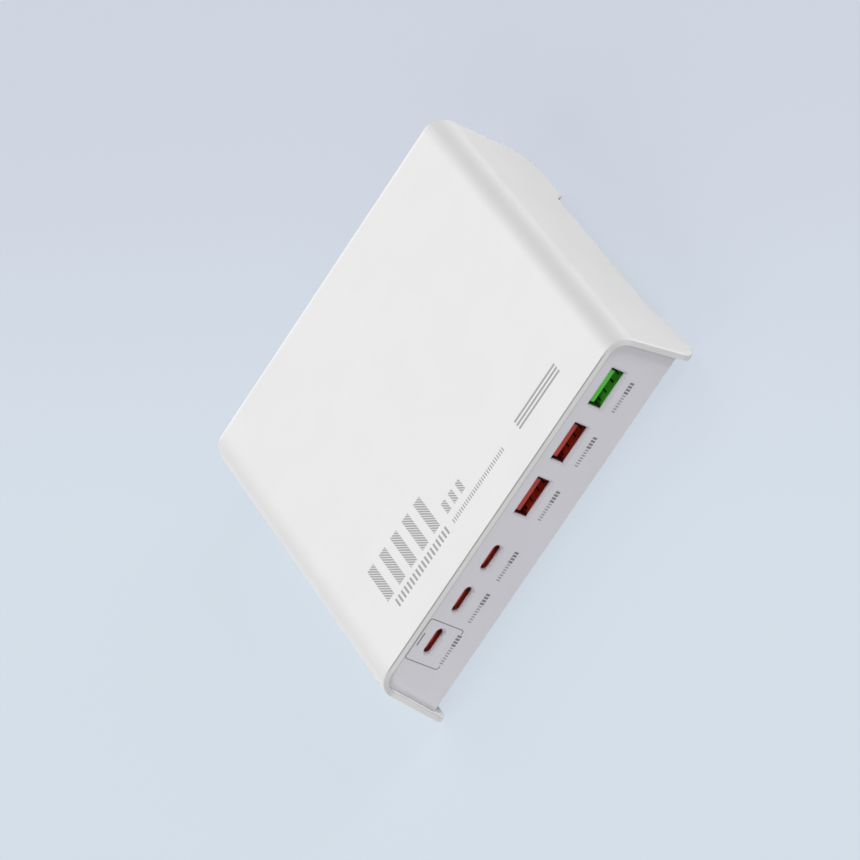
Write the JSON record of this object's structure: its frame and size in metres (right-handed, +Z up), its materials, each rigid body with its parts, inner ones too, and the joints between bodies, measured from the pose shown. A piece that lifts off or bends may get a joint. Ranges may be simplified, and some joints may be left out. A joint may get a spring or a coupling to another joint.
{
  "type": "desktop usb charger",
  "caption": "Low desktop USB charger: a white cover folded down into splayed legs, a grey panel with USB-C and USB-A sockets in front, and a mains inlet at the rear.",
  "frame": {"origin": "on the table under the middle of the cover", "axes": "+Z up, the socket panel faces -Y, and +X is the side with the USB-A sockets"},
  "size_m": [0.1344, 0.1332, 0.0294],
  "materials": {
    "cover_white": "fine satin",
    "panel_grey": "fine satin",
    "insert_red": "moulded",
    "insert_green": "moulded",
    "socket_steel": "dark plated",
    "screw_steel": "zinc plated",
    "contact_brass": "gold plated",
    "inlet_black": "fine satin",
    "board_green": "solder mask",
    "sheet_clear": "film",
    "can_metal": "satin",
    "sleeve_black": "shrunk sleeve",
    "capacitor_yellow": "moulded",
    "disc_blue": "dipped",
    "ferrite": "sintered",
    "copper_wire": "enamelled copper",
    "package_black": "moulded",
    "pad_grey": "soft"
  },
  "bodies": {
    "root": {"ac_inlet": "inlet_black", "base_tray": "panel_grey", "board_screws": "screw_steel", "board_spacers": "contact_brass", "bridge_rectifier": "package_black", "buck_inductors": "package_black", "bulk_capacitors": "sleeve_black", "choke_core": "ferrite", "choke_windings": "copper_wire", "controller_chips": "package_black", "cover_screws": "screw_steel", "front_panel": "panel_grey", "fuse": "package_black", "heat_sink": "can_metal", "heat_spreader": "can_metal", "inlet_pins": "screw_steel", "insulation_sheet": "sheet_clear", "link_headers": "package_black", "main_board": "board_green", "output_capacitors": "can_metal", "pfc_bobbin": "package_black", "pfc_core": "ferrite", "pfc_winding": "copper_wire", "port_board_screws": "screw_steel", "power_switches": "package_black", "rear_panel": "panel_grey", "thermal_pad": "pad_grey", "top_cover": "cover_white", "transformer_bobbin": "package_black", "transformer_core": "ferrite", "transformer_winding": "copper_wire", "usb_a_board": "board_green", "usb_a_contacts_1": "contact_brass", "usb_a_contacts_2": "contact_brass", "usb_a_contacts_3": "contact_brass", "usb_a_insert_1": "insert_red", "usb_a_insert_2": "insert_red", "usb_a_insert_3": "insert_green", "usb_a_shell_1": "socket_steel", "usb_a_shell_2": "socket_steel", "usb_a_shell_3": "socket_steel", "usb_c_board": "board_green", "usb_c_insert_1": "insert_red", "usb_c_insert_2": "insert_red", "usb_c_insert_3": "insert_red", "usb_c_shell_1": "socket_steel", "usb_c_shell_2": "socket_steel", "usb_c_shell_3": "socket_steel", "varistor": "disc_blue", "x_capacitor": "capacitor_yellow", "y_capacitor": "disc_blue"}
  },
  "joints": []
}
